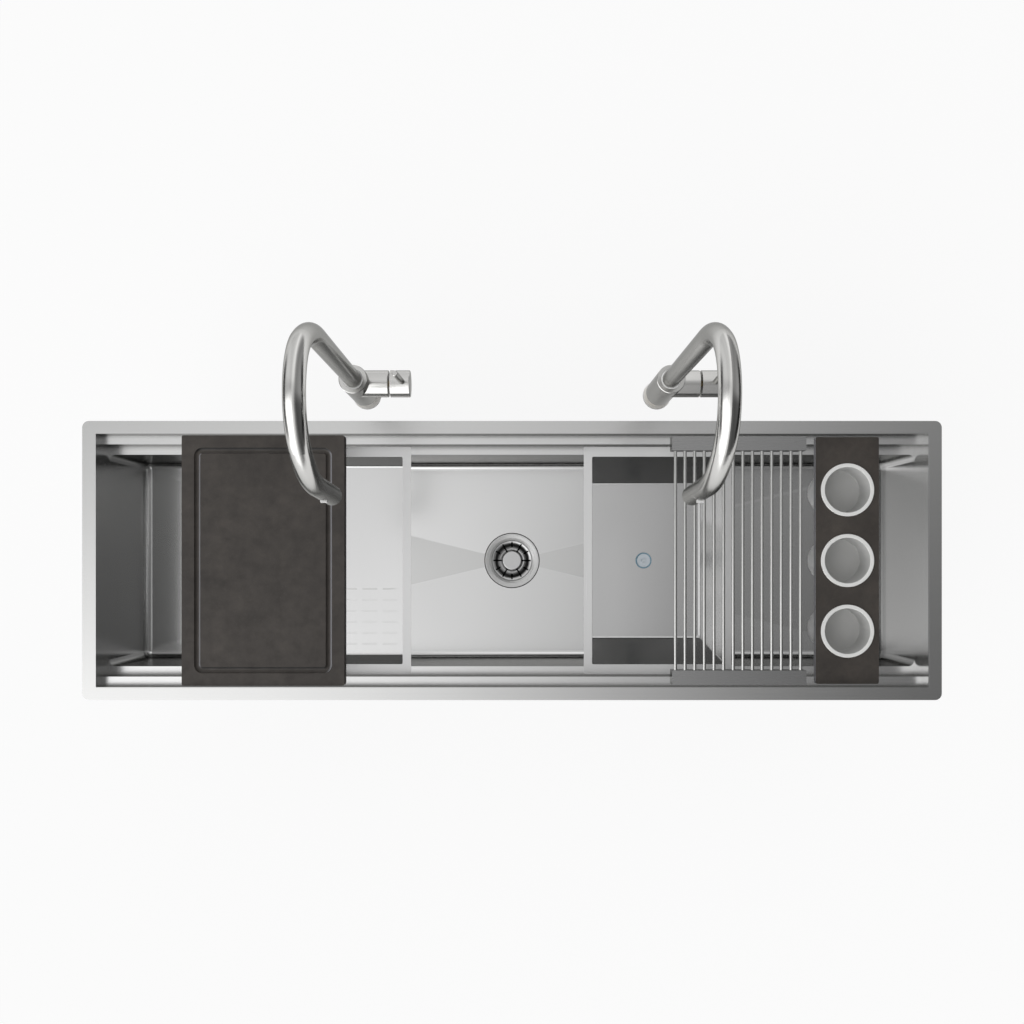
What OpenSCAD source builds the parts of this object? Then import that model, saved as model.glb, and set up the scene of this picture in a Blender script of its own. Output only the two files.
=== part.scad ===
// Workstation kitchen sink with ledge accessories and two gooseneck taps.
// Millimetres, +Z up. The origin is the centre of the worktop cut-out, in the plane of the worktop's top.
// +X runs along the sink to the right, +Y towards the taps at the back.

/* [Sink] */
// Length of the opening inside the rim
opening_l = 1476; // [1440:4:1600]
// Width of the opening inside the rim, front to back
opening_w = 449; // [430:1:480]
// Width of the rim at the two ends
rim_end_w = 24; // [20:1:40]
// Width of the rim along the front and the back
rim_side_w = 23; // [20:1:40]
// Radius of the rim's outer corners
rim_corner_r = 12; // [4:1:18]
// Thickness of the steel sheet
sheet_t = 1.5; // [1:0.1:2]
// Depth of the upper ledge below the worktop
upper_depth = 26; // [24:1:34]
// Width of the upper ledge
upper_w = 15.5; // [13:0.5:20]
// Depth of the lower ledge below the worktop
lower_depth = 62; // [56:1:72]
// Width of the lower ledge
lower_w = 15; // [13:0.5:20]
// Depth of the bowl at its walls
bowl_depth = 254; // [235:1:290]
// Radius of the bowl's upright corners and floor edges
bowl_r = 12; // [8:1:18]
// Fall of the floor from the walls to the middle of the drain
floor_fall = 6; // [3:0.5:10]

/* [Underside] */
// Thickness of the worktop that the sink and the taps clamp to
worktop_t = 30; // [24:1:32]
// Width of each clip bracket along the rim
clip_w = 22; // [16:1:30]
// Thickness of the clip brackets
clip_t = 2.5; // [2:0.5:3]
// Reach of the clip brackets at the front and the back
clip_reach = 36; // [30:1:40]
// Reach of the clip brackets at the ends
clip_end_reach = 22; // [18:1:24]
// Radius of the clip screws
clip_screw_r = 2.5; // [2:0.25:3]
// Spacing of the clips along the front and the back
clip_pitch = 420; // [300:10:450]
// Spacing of the clips across the ends
clip_end_pitch = 260; // [200:10:300]
// Thickness of the sound pads
pad_t = 3; // [2:0.5:5]
// Length of a sound pad
pad_l = 300; // [200:10:340]
// Height of a sound pad on the walls
pad_h = 120; // [60:5:140]

/* [Drain] */
// Radius of the strainer flange
flange_r = 55; // [52:0.5:60]
// Gap round the flange in its recess
recess_gap = 1; // [0.5:0.1:2]
// Thickness of the flange's edge
flange_t = 2; // [1.5:0.1:2.5]
// Radius of the strainer's thread
thread_r = 44.5; // [43.5:0.5:46]
// Wall between the strainer's thread and its mouth
neck_wall = 4.5; // [4:0.1:6]
// Depth of the strainer cup under the flange
cup_depth = 46; // [40:1:60]
// Radius of the outlet bore
outlet_r = 20; // [18:0.5:21]
// Radius of the disc in the middle of the basket
hub_r = 18.4; // [15:0.2:19]
// Width of a basket slot
basket_slot_w = 2.8; // [2:0.1:3.4]
// Number of basket slots
basket_slots = 12; // [8:4:16]
// Outer radius of the tailpiece
tail_r = 19.05; // [16:0.05:19.5]
// Length of the tailpiece below the strainer
tail_l = 100; // [60:5:150]

/* [Cutting board] */
// Left edge of the cutting board
board_x = -587; // [-600:1:-560]
// Length of the cutting board along the sink
board_l = 289; // [260:1:300]
// Thickness of the cutting board
board_t = 23.4; // [18:0.2:24]
// Radius of the board's corners
board_corner_r = 3.5; // [1:0.5:8]
// Distance of the juice groove from the board's edge
groove_inset = 22; // [16:1:34]
// Width of the juice groove
groove_w = 11; // [8:0.5:14]
// Depth of the juice groove
groove_depth = 4.5; // [3:0.5:5]
// Radius of the juice groove's corners, on its outer side
groove_corner_r = 15; // [14:0.5:30]

/* [Colander] */
// Right edge of the colander's flange
colander_x = -185; // [-200:1:-160]
// Length of the colander along the sink
colander_l = 281; // [260:1:300]
// Thickness of the colander and basin sheet
tray_t = 1.2; // [0.8:0.1:1.5]
// Width of the colander's flange at its two ends
colander_rim = 15.4; // [12:0.2:20]
// Depth of the colander below the lower ledge
colander_depth = 56; // [40:1:80]
// How far the front and back walls of the colander lean in
colander_lean = 11; // [4:1:20]
// Length of a colander slot
slot_l = 28; // [16:1:32]
// Width of a colander slot
slot_w = 3.4; // [2:0.1:5]
// Spacing of the slots along the sink
slot_pitch_x = 38.3; // [36:0.1:40]
// Spacing of the slots from front to back
slot_pitch_y = 20.7; // [16:0.1:24]
// Number of slots in a row
slot_cols = 6; // [4:1:6]
// Number of rows of slots
slot_rows = 6; // [3:1:9]

/* [Basin] */
// Left edge of the basin's flange
basin_x = 131.6; // [120:0.2:140]
// Length of the basin along the sink
basin_l = 274.2; // [250:0.2:290]
// Width of the basin's flange at its two ends
basin_rim = 15.6; // [12:0.2:20]
// Depth of the basin below the lower ledge
basin_depth = 140; // [100:2:150]
// How far each end wall of the basin leans in
basin_lean_x = 21; // [10:1:30]
// How far the front and back walls of the basin lean in
basin_lean_y = 37; // [20:1:45]
// Radius of the basin's plug
plug_r = 15.5; // [14:0.1:18]
// Radius of the hole that the plug closes
plug_hole_r = 12; // [9:0.1:13]
// Distance of the plug to the left of the basin's middle
plug_offset = 10; // [0:1:20]

/* [Drying rack] */
// Left end of the rack
rack_x = 284.4; // [280:0.2:290]
// Length of the rack's end bars
rack_l = 238.2; // [220:0.2:250]
// Width of an end bar
bar_w = 25; // [22:0.5:30]
// Height of an end bar
bar_h = 25; // [20:0.5:26]
// Radius of the rods
rod_r = 3; // [2:0.1:4]
// Number of rods
rods = 14; // [8:1:16]
// Height of the rods above the upper ledge
rod_z = 14; // [10:0.5:15]
// Distance from each end of the rack to its first rod
rod_margin = 7.4; // [5:0.2:12]

/* [Containers] */
// Gap between the rack and the container board
caddy_gap = 20.3; // [12:0.1:24]
// Thickness of the container board
caddy_t = 12; // [8:0.5:16]
// Width of the container board beyond the container rims
caddy_margin = 9.2; // [6:0.2:14]
// Outer radius of a container's rim
container_rim_r = 47.3; // [44:0.1:49]
// Width of a container's rim
container_rim_w = 6.6; // [6:0.1:8]
// Depth of a container below the board's top
container_depth = 106; // [80:1:120]
// Depth of the space inside a container
liner_depth = 56; // [40:1:70]
// Spacing of the containers
container_pitch = 126.2; // [110:0.2:135]

/* [Taps] */
// Distance of each tap from the sink's middle
tap_x = 261.5; // [240:0.5:300]
// Distance of the taps behind the sink's rim
tap_setback = 50.5; // [40:0.5:60]
// Radius of the tap body
tap_body_r = 23.5; // [21:0.5:28]
// Height of the tap body
tap_body_h = 137; // [130:1:160]
// Height of the side valve's axis
valve_z = 90; // [84:1:92]
// Radius of the side valve and its knob
valve_r = 22.5; // [21:0.5:23]
// Reach of the side valve from the tap's axis
valve_reach = 54; // [48:0.5:60]
// Gap between the side valve and its knob
knob_gap = 3; // [1:0.5:4]
// Length of the knob
knob_l = 33; // [28:1:40]
// Radius of the lever pin
pin_r = 4.75; // [3:0.25:6]
// Height of the lever pin's tip above the valve's axis
pin_tip = 100; // [70:1:120]
// Lean of the lever pin towards the tap body, in degrees
pin_lean = 2.5; // [0:0.5:6]
// Radius of the spout tube
spout_r = 14.2; // [12:0.1:15]
// Wall thickness of the spout tube
spout_wall = 1.5; // [1:0.1:2]
// Radius of the gooseneck's bend at its top
bend_r = 80; // [70:1:95]
// Height of the centre of that bend
bend_z = 515.5; // [460:0.5:540]
// Radius of the two wider bends that lead into it
bend_side_r = 198; // [120:1:230]
// Angle that the wider bend at the back turns through
bend_back_a = 29; // [10:1:40]
// Angle at which the wider bend at the front starts, above the level of its centre
bend_front_a = 37; // [15:1:45]
// Lean of the nozzle away from the tap body, in degrees
nozzle_lean = 2.5; // [0:0.5:6]
// Height of the joint between spout and nozzle
nozzle_top = 406; // [380:1:420]
// Length of the nozzle
nozzle_l = 76; // [60:1:90]
// Width of the selector button
button_w = 9; // [6:0.5:10]
// Height of the selector button
button_h = 8; // [5:0.5:10]
// How far the selector button pushes in
button_travel = 1.5; // [1:0.1:2]
// Radius of the threaded shank under the tap
shank_r = 16; // [14:0.5:17]
// Length of the threaded shank below the worktop's top
shank_l = 75; // [60:1:90]

/* [Fits] */
// Gap on each side of the pieces that slide on the ledges
slide_gap = 2; // [1:0.5:3]
// Radial gap of the turning and lifting fits
fit_gap = 0.05; // [0.02:0.01:0.1]
// Gap where a loose piece stands clear of its neighbour
clear_gap = 0.3; // [0.2:0.1:0.5]

/* [Hidden] */

round_fn = 96;
small_fn = 48;
hull_fn = 32;
hull_steps = 6;
over = 1;
eps = 0.01;

steel = "silver";
dark_steel = "dimgray";
rubber = "#2b2b2b";
slate = "#45403c";
china = "whitesmoke";

// Sink, worked out from the opening inwards
rim_l = opening_l + 2 * rim_end_w;
rim_w = opening_w + 2 * rim_side_w;
opening_y = opening_w / 2;
upper_y = opening_y - upper_w;
lower_y = upper_y - lower_w;
end_x = opening_l / 2;
bowl_w = 2 * lower_y;

// Clips hang on the wall between the two ledges, under the worktop
clip_top = upper_depth + sheet_t + 4;
clip_h = lower_depth - clip_top - 2;
clip_arm_z = -lower_depth + 8;
clip_screw_tip = -worktop_t;
clip_screw_inset = 9;
clip_pad_r = 5;
clip_pad_t = 1.5;
clip_head_r = 4.5;
clip_head_t = 4;
clip_screw_end = clip_arm_z - 12;

// Sound pads
pad_wall_x = opening_l / 4;
pad_z = -bowl_depth + 40;
pad_end_w = 220;
pad_floor_y = 92;
pad_floor_w = 150;
pad_floor_x = opening_l / 4;

// Drain, measured down from the seat of the strainer flange
mouth_r = thread_r - neck_wall;
recess_r = flange_r + recess_gap;
seat_z = -bowl_depth - floor_fall - flange_t;
hole_r = thread_r + 0.5;
flange_edge = 0.6;
flange_flat = 3;
dish_foot = 1;
neck_edge = 1.5;
neck_z = -5;
neck_step = 2;
rest_r = mouth_r - 2.5;
rest_z = -8;
cone_z = -cup_depth + 14;
cup_bottom = -cup_depth + 3;
outlet_wall = 4;
outlet_l = 14;
outlet_z = -cup_depth - outlet_l;
gasket_t = 3;
washer_t = 1.2;
nut_t = 10;
nut_wall = 9;
lug_l = 5;
lugs = 8;
nut_z = -sheet_t - gasket_t - washer_t;

// Basket
basket_t = 1.2;
basket_rim_r = mouth_r - clear_gap;
basket_wall_r = rest_r - 0.8;
basket_floor_r = rest_r - 4.8;
basket_floor_z = -24;
hub_z = -12;
hub_flare = 1.6;
slot_outer_r = basket_rim_r - basket_t;
long_slot_r = hub_r + hub_flare + 0.1;
short_slot_r = long_slot_r + 7;
post_r = 4;
stopper_r = rest_r - 9.5;
stopper_lip = 2;
stopper_top = cone_z - 2;

// Tail
tail_wall = 1.5;
tail_lip_r = outlet_r + outlet_wall - 1.5;
tail_washer_t = 2;
tail_nut_wall = 5;
tail_nut_up = 10;
tail_nut_down = 6;
tail_neck_r = tail_r + 0.6;
tail_neck_l = tail_nut_down + 1;

// Sliding pieces
board_w = opening_w - 2 * slide_gap;
caddy_w = 2 * (container_rim_r + caddy_margin);
caddy_len = opening_w - 4 * slide_gap;
rack_w = opening_w - 4 * slide_gap;
tray_w = 2 * (upper_y - slide_gap / 2);
tray_inner_y = lower_y - 2 * slide_gap;
tray_corner_r = 2;
colander_top_r = 3;
colander_floor_r = 4;
slots_front = 33;
basin_top_r = 5;
basin_floor_r = 12;
rod_grip = 14;
rod_seat = 0.05;
basin_mid = basin_x + basin_l / 2;
caddy_mid = rack_x + rack_l + caddy_gap + caddy_w / 2;
groove_path_r = groove_corner_r - groove_w / 2;

// Plug
plug_t = 3;
plug_lip_w = 2;
plug_lip_h = 1;
plug_stem = 4;
plug_knob_r = 4;
plug_knob_h = 3;
plug_edge = 1;

// Containers
shell_wall = 2;
shell_flare = 2;
shell_lip_t = 1.5;
shell_edge_r = 6;
liner_t = 1.2;
liner_lip_t = 1.4;
liner_gap = 0.2;
liner_edge = 0.6;
liner_foot = 1;
liner_r = container_rim_r - container_rim_w;
liner_floor_r = liner_r - liner_foot - 0.1;
shell_r = liner_r + liner_t + liner_gap + shell_wall;
caddy_hole_r = shell_r + 0.8;

// Taps
tap_y = rim_w / 2 + tap_setback;
bush_t = 2.4;
bush_r = spout_r + fit_gap + bush_t;
socket_h = 22;
bush_h = socket_h - 0.6;
socket_z = tap_body_h - socket_h;
cartridge_r = valve_r - 5;
cartridge_x = 18;
stem_r = 5;
stem_in = 10;
stem_out = 9;
pin_x = valve_reach + knob_gap + knob_l * 2 / 3;
pin_root = valve_r - 12;
turned_edge = 0.8;
nozzle_bore_r = 8;
spigot_l = 12;
seam_gap = 0.6;
seam_inset = 0.5;
aerator_r = 11.5;
aerator_l = 9;
aerator_skin = 3;
aerator_recess = 1.2;
aerator_hole_r = 0.8;
aerator_pitch = 2.2;
aerator_rings = 3;
button_proud = 2.5;
button_depth = 2.1;
button_drop = 9;
button_side_gap = 0.1;
seal_in_r = shank_r + 1.5;
seal_out_r = tap_body_r - 1.5;
seal_t = 2;
shank_bore_r = shank_r - 3.5;
shank_up = 25;
inlet_r = 4.25;
inlet_x = 6;
inlet_depth = 18;
tap_rubber_t = 3;
tap_clamp_t = 2;
tap_nut_t = 9;
tap_washer_r = shank_r + 9;
tap_nut_r = shank_r + 6.5;

// Gooseneck, from the tap's axis: centres of its three bends, and its straight arm down to the nozzle
spout_bore_r = spout_r - spout_wall;
bend_more = bend_side_r - bend_r;
bend_y = -bend_side_r + bend_more * cos(bend_back_a);
riser_top = bend_z - bend_more * sin(bend_back_a);
front_y = bend_y + bend_more * cos(bend_front_a);
front_z = bend_z - bend_more * sin(bend_front_a);
arm_y = front_y - bend_side_r * cos(nozzle_lean);
arm_z = front_z + bend_side_r * sin(nozzle_lean);
arm_l = (arm_z - nozzle_top) / cos(nozzle_lean);
neck_lap_a = 0.3;
neck_tuck = 0.05;

// ---------------------------------------------------------------- helpers

module rounded_rect(l, w, r) {
    square([l - 2 * r, w], center = true);
    square([l, w - 2 * r], center = true);
    for (sx = [-1, 1], sy = [-1, 1])
        translate([sx * (l / 2 - r), sy * (w / 2 - r)]) circle(r, $fn = small_fn);
}

// Extrudes a (y, z) profile along X, centred
module along_x(l) {
    rotate([90, 0, 90]) linear_extrude(l, center = true) children();
}

// A post with a rounded foot: its lowest point is at z = 0
module corner_post(r, h) {
    arc = [for (i = [0 : hull_steps]) let (a = 90 * i / hull_steps) [r * sin(a), r * (1 - cos(a))]];
    rotate_extrude($fn = hull_fn) polygon(concat(arc, [[r, h], [0, h]]));
}

// A tub with rounded corners and floor edges: its floor is at z = 0
module tub(l, w, h, r) {
    hull()
        for (sx = [-1, 1], sy = [-1, 1])
            translate([sx * (l / 2 - r), sy * (w / 2 - r), 0]) corner_post(r, h);
}

module tube(r_out, r_in, h) {
    difference() {
        cylinder(r = r_out, h = h, $fn = round_fn);
        translate([0, 0, -over]) cylinder(r = r_in, h = h + 2 * over, $fn = round_fn);
    }
}

module at_seat() {
    translate([0, 0, seat_z]) children();
}

module at_tap(side) {
    translate([side * tap_x, tap_y, 0]) children();
}

module at_both_taps() {
    at_tap(-1) children();
    at_tap(1) children();
}

module at_container(row) {
    translate([caddy_mid, row * container_pitch, caddy_t - upper_depth]) children();
}

// Turns +Z into +X, on the side valve's axis
module on_valve(x) {
    translate([x, 0, valve_z]) rotate([0, 90, 0]) children();
}

// ---------------------------------------------------------------- sink

module rim_frame() {
    color(steel)
        linear_extrude(sheet_t)
            difference() {
                rounded_rect(rim_l, rim_w, rim_corner_r);
                square([opening_l + 2 * sheet_t, opening_w + 2 * sheet_t], center = true);
            }
}

// A flat sheet of the tiers, as long as the opening, at the back and its mirror image at the front
module tier_sheets(y, z, w, h) {
    color(steel)
        for (near_y = [y, -y - w])
            translate([-end_x, near_y, z]) cube([opening_l, w, h]);
}

module side_walls() {
    tier_sheets(opening_y, -upper_depth - sheet_t, sheet_t, upper_depth + 2 * sheet_t);
}

module upper_ledges() {
    tier_sheets(upper_y, -upper_depth - sheet_t, upper_w, sheet_t);
}

module ledge_risers() {
    tier_sheets(upper_y, -lower_depth - sheet_t, sheet_t, lower_depth - upper_depth);
}

module lower_ledges() {
    tier_sheets(lower_y, -lower_depth - sheet_t, lower_w, sheet_t);
}

// The four shallow planes of the floor, falling to a point under the drain, filled up to a height above z
module floor_planes(z, up) {
    l = opening_l - 2 * bowl_r;
    w = bowl_w - 2 * bowl_r;
    hull() {
        translate([-l / 2, -w / 2, z]) cube([l, w, up]);
        translate([-eps / 2, -eps / 2, z - floor_fall]) cube([eps, eps, up]);
    }
}

module end_wall() {
    translate([end_x + sheet_t / 2, 0, 0])
        along_x(sheet_t)
            polygon([
                [-opening_y - sheet_t, sheet_t],
                [opening_y + sheet_t, sheet_t],
                [opening_y + sheet_t, -upper_depth - sheet_t],
                [upper_y + sheet_t, -upper_depth - sheet_t],
                [upper_y + sheet_t, -lower_depth - sheet_t],
                [-upper_y - sheet_t, -lower_depth - sheet_t],
                [-upper_y - sheet_t, -upper_depth - sheet_t],
                [-opening_y - sheet_t, -upper_depth - sheet_t],
            ]);
}

module bowl() {
    recess_top = -bowl_depth - sheet_t;
    color(steel)
        difference() {
            union() {
                translate([0, 0, -bowl_depth - sheet_t])
                    tub(opening_l + 2 * sheet_t, bowl_w + 2 * sheet_t, bowl_depth - lower_depth, bowl_r + sheet_t);
                translate([-end_x - sheet_t, -lower_y, -lower_depth - sheet_t - over])
                    cube([opening_l + 2 * sheet_t, bowl_w, sheet_t + over]);
                floor_planes(-bowl_depth - sheet_t, sheet_t);
                at_seat()
                    translate([0, 0, -sheet_t])
                        cylinder(r = recess_r + sheet_t, h = recess_top - seat_z + 2 * sheet_t, $fn = round_fn);
                end_wall();
                mirror([1, 0, 0]) end_wall();
            }
            translate([0, 0, -bowl_depth]) tub(opening_l, bowl_w, bowl_depth - lower_depth + over, bowl_r);
            floor_planes(-bowl_depth, over);
            at_seat() cylinder(r = recess_r, h = floor_fall + flange_t + over, $fn = round_fn);
            at_seat() translate([0, 0, -sheet_t - over]) cylinder(r = hole_r, h = sheet_t + 2 * over, $fn = round_fn);
        }
}

module sound_pads() {
    wall_y = lower_y + sheet_t;
    wall_x = end_x + sheet_t;
    floor_z = -bowl_depth - sheet_t;
    color(rubber) {
        for (sx = [-1, 1], sy = [-1, 1])
            translate([sx * pad_wall_x, sy * (wall_y + pad_t / 2), pad_z + pad_h / 2])
                cube([pad_l, pad_t, pad_h], center = true);
        for (sx = [-1, 1])
            translate([sx * (wall_x + pad_t / 2), 0, pad_z + pad_h / 2])
                cube([pad_t, pad_end_w, pad_h], center = true);
        difference() {
            intersection() {
                floor_planes(floor_z - pad_t, 2 * pad_t);
                for (sx = [-1, 1], sy = [-1, 1])
                    translate([sx * pad_floor_x, sy * pad_floor_y, floor_z])
                        cube([pad_l, pad_floor_w, 4 * (pad_t + floor_fall)], center = true);
            }
            floor_planes(floor_z, 2 * pad_t);
        }
    }
}

// Clips stand on the outside of the sink, their +X pointing away from the bowl
module at_side_clips() {
    for (side = [-1, 1], i = [-1.5 : 1 : 1.5])
        translate([i * clip_pitch, side * (upper_y + sheet_t), 0]) rotate([0, 0, side * 90]) children();
}

module at_end_clips() {
    for (side = [-1, 1], i = [-0.5, 0.5])
        translate([side * (end_x + sheet_t), i * clip_end_pitch, 0])
            rotate([0, 0, 90 - side * 90]) children();
}

module clip_bracket(reach) {
    difference() {
        union() {
            translate([0, -clip_w / 2, -clip_top - clip_h]) cube([clip_t, clip_w, clip_h]);
            translate([0, -clip_w / 2, clip_arm_z]) cube([reach, clip_w, clip_t]);
        }
        translate([reach - clip_screw_inset, 0, clip_arm_z - over])
            cylinder(r = clip_screw_r + fit_gap, h = clip_t + 2 * over, $fn = small_fn);
    }
}

module clip_screw(reach) {
    translate([reach - clip_screw_inset, 0, 0]) {
        translate([0, 0, clip_screw_end])
            cylinder(r = clip_screw_r, h = clip_screw_tip - clip_screw_end - clip_pad_t, $fn = small_fn);
        translate([0, 0, clip_screw_tip - clip_pad_t]) cylinder(r = clip_pad_r, h = clip_pad_t, $fn = small_fn);
        translate([0, 0, clip_screw_end - clip_head_t]) cylinder(r = clip_head_r, h = clip_head_t, $fn = 6);
    }
}

module clip_brackets() {
    color(dark_steel) {
        at_side_clips() clip_bracket(clip_reach);
        at_end_clips() clip_bracket(clip_end_reach);
    }
}

module clip_screws() {
    color(steel) {
        at_side_clips() clip_screw(clip_reach);
        at_end_clips() clip_screw(clip_end_reach);
    }
}

// ---------------------------------------------------------------- drain

module strainer_body() {
    bottom_r = outlet_r + outlet_wall;
    color(steel)
        at_seat()
            rotate_extrude($fn = round_fn)
                polygon([
                    [thread_r, 0],
                    [flange_r, 0],
                    [flange_r, flange_t - flange_edge],
                    [flange_r - flange_edge, flange_t],
                    [flange_r - flange_flat, flange_t],
                    [thread_r + dish_foot, flange_t / 2],
                    [mouth_r + neck_edge, -neck_edge],
                    [mouth_r, neck_z],
                    [mouth_r, rest_z],
                    [rest_r, rest_z],
                    [rest_r, cone_z],
                    [outlet_r, cup_bottom],
                    [outlet_r, outlet_z],
                    [bottom_r, outlet_z],
                    [bottom_r, -cup_depth],
                    [thread_r, cone_z - neck_step],
                ]);
}

module drain_gasket() {
    color(rubber)
        at_seat() translate([0, 0, -sheet_t - gasket_t]) tube(recess_r, hole_r, gasket_t);
}

module friction_washer() {
    color("tan")
        at_seat() translate([0, 0, nut_z]) tube(flange_r, hole_r, washer_t);
}

module lock_nut() {
    color(dark_steel)
        at_seat()
            translate([0, 0, nut_z - nut_t])
                difference() {
                    union() {
                        cylinder(r = thread_r + nut_wall, h = nut_t, $fn = round_fn);
                        for (i = [0 : lugs - 1])
                            rotate(i * 360 / lugs)
                                translate([thread_r + nut_wall / 2, -lug_l / 2, 0])
                                    cube([nut_wall / 2 + lug_l, lug_l, nut_t]);
                    }
                    translate([0, 0, -over]) cylinder(r = thread_r + fit_gap, h = nut_t + 2 * over, $fn = round_fn);
                }
}

module tail_washer() {
    color(china)
        at_seat()
            translate([0, 0, outlet_z - tail_washer_t]) tube(tail_lip_r, tail_r - tail_wall, tail_washer_t);
}

module tailpiece() {
    top = outlet_z - tail_washer_t;
    color(steel)
        at_seat()
            rotate_extrude($fn = round_fn)
                polygon([
                    [tail_r - tail_wall, top],
                    [tail_lip_r, top],
                    [tail_lip_r, top - tail_wall],
                    [tail_neck_r, top - tail_wall],
                    [tail_neck_r, top - tail_wall - tail_neck_l],
                    [tail_r, top - tail_wall - tail_neck_l],
                    [tail_r, top - tail_l],
                    [tail_r - tail_wall, top - tail_l],
                ]);
}

module tail_nut() {
    grip_r = outlet_r + outlet_wall + fit_gap;
    lip_z = outlet_z - tail_washer_t - tail_wall;
    color(steel)
        at_seat()
            difference() {
                translate([0, 0, lip_z - tail_nut_down])
                    cylinder(r = grip_r + tail_nut_wall, h = outlet_z + tail_nut_up - lip_z + tail_nut_down, $fn = 8);
                translate([0, 0, lip_z]) cylinder(r = grip_r, h = 3 * tail_nut_up, $fn = round_fn);
                translate([0, 0, lip_z - 2 * tail_nut_down])
                    cylinder(r = tail_neck_r + fit_gap, h = 3 * tail_nut_down, $fn = round_fn);
            }
}

module strainer_basket() {
    color(steel)
        at_seat()
            difference() {
                rotate_extrude($fn = round_fn)
                    polygon([
                        [0, hub_z - basket_t],
                        [hub_r - basket_t, hub_z - basket_t],
                        [hub_r + hub_flare - basket_t, basket_floor_z],
                        [basket_floor_r, basket_floor_z],
                        [basket_wall_r, rest_z],
                        [basket_rim_r, rest_z],
                        [basket_rim_r, rest_z + basket_t],
                        [basket_wall_r - basket_t, rest_z + basket_t],
                        [basket_floor_r - basket_t, basket_floor_z + basket_t],
                        [hub_r + hub_flare, basket_floor_z + basket_t],
                        [hub_r, hub_z],
                        [0, hub_z],
                    ]);
                for (i = [0 : basket_slots - 1]) {
                    inner = i % 2 == 0 ? long_slot_r : short_slot_r;
                    rotate(i * 360 / basket_slots)
                        translate([inner, -basket_slot_w / 2, basket_floor_z - over])
                            cube([slot_outer_r - inner, basket_slot_w, rest_z - basket_floor_z + basket_t + 2 * over]);
                }
            }
}

module basket_post() {
    color(dark_steel)
        at_seat()
            translate([0, 0, stopper_top])
                cylinder(r = post_r, h = hub_z - basket_t - stopper_top, $fn = small_fn);
}

module basket_stopper() {
    slope = (cup_bottom - cone_z) / (rest_r - outlet_r);
    side_z = cone_z + slope * (rest_r - stopper_r) + clear_gap;
    foot_r = stopper_r - 4;
    foot_z = cone_z + slope * (rest_r - foot_r) + clear_gap;
    color(rubber)
        at_seat()
            rotate_extrude($fn = round_fn)
                polygon([
                    [0, foot_z],
                    [foot_r, foot_z],
                    [stopper_r, side_z],
                    [stopper_r, stopper_top - stopper_lip],
                    [stopper_r - stopper_lip, stopper_top],
                    [0, stopper_top],
                ]);
}

// ---------------------------------------------------------------- pieces that slide on the ledges

module cutting_board() {
    path_x = board_l / 2 - groove_inset - groove_corner_r;
    path_y = board_w / 2 - groove_inset - groove_corner_r;
    cut_r = (pow(groove_w / 2, 2) + pow(groove_depth, 2)) / (2 * groove_depth);
    cut_z = board_t - groove_depth + cut_r;
    color(slate)
        translate([board_x + board_l / 2, 0, -upper_depth])
            difference() {
                linear_extrude(board_t) rounded_rect(board_l, board_w, board_corner_r);
                for (s = [-1, 1]) {
                    translate([s * (path_x + groove_path_r), 0, cut_z])
                        rotate([90, 0, 0]) cylinder(r = cut_r, h = 2 * path_y, center = true, $fn = small_fn);
                    translate([0, s * (path_y + groove_path_r), cut_z])
                        rotate([0, 90, 0]) cylinder(r = cut_r, h = 2 * path_x, center = true, $fn = small_fn);
                }
                for (corner = [[1, 1, 0], [-1, 1, 90], [-1, -1, 180], [1, -1, 270]])
                    translate([corner[0] * path_x, corner[1] * path_y, cut_z])
                        rotate(corner[2])
                            rotate_extrude(angle = 90, $fn = round_fn)
                                translate([groove_path_r, 0]) circle(cut_r, $fn = small_fn);
            }
}

// Flange of a tray that hangs on the lower ledges
module tray_flange(l) {
    linear_extrude(tray_t) rounded_rect(l, tray_w, tray_corner_r);
}

// The tub of a tray, its walls leaning in towards the floor, grown on all sides by the sheet where wanted
module tray_tub(half_l, depth, lean, top_r, floor_r, grow, lift) {
    top_x = half_l - top_r;
    top_y = tray_inner_y - top_r;
    floor_x = half_l - lean[0] - floor_r;
    floor_y = tray_inner_y - lean[1] - floor_r;
    hull()
        for (sx = [-1, 1], sy = [-1, 1]) {
            translate([sx * top_x, sy * top_y, 0]) cylinder(r = top_r + grow, h = lift, $fn = hull_fn);
            translate([sx * floor_x, sy * floor_y, -depth - grow]) corner_post(floor_r + grow, 2 * (floor_r + grow));
        }
}

module colander_tub(grow, lift) {
    tray_tub(
        colander_l / 2 - colander_rim, colander_depth, [0, colander_lean],
        colander_top_r, colander_floor_r, grow, lift
    );
}

module colander_slot() {
    for (s = [-1, 1])
        translate([s * (slot_l - slot_w) / 2, 0]) circle(slot_w / 2, $fn = hull_fn);
    square([slot_l - slot_w, slot_w], center = true);
}

module colander() {
    color(steel)
        translate([colander_x - colander_l / 2, 0, -lower_depth])
            difference() {
                union() {
                    tray_flange(colander_l);
                    colander_tub(tray_t, tray_t);
                }
                colander_tub(0, tray_t + over);
                for (col = [0 : slot_cols - 1], row = [0 : slot_rows - 1])
                    translate([
                        (col - (slot_cols - 1) / 2) * slot_pitch_x,
                        -tray_inner_y + slots_front + row * slot_pitch_y,
                        -colander_depth - 2 * tray_t,
                    ])
                        linear_extrude(4 * tray_t) colander_slot();
            }
}

module basin_tub(grow, lift) {
    tray_tub(
        basin_l / 2 - basin_rim, basin_depth, [basin_lean_x, basin_lean_y],
        basin_top_r, basin_floor_r, grow, lift
    );
}

module basin() {
    color(steel)
        translate([basin_mid, 0, -lower_depth])
            difference() {
                union() {
                    tray_flange(basin_l);
                    basin_tub(tray_t, tray_t);
                }
                basin_tub(0, tray_t + over);
                translate([-plug_offset, 0, -basin_depth - tray_t - over])
                    cylinder(r = plug_hole_r + fit_gap, h = tray_t + 2 * over, $fn = round_fn);
            }
}

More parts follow.
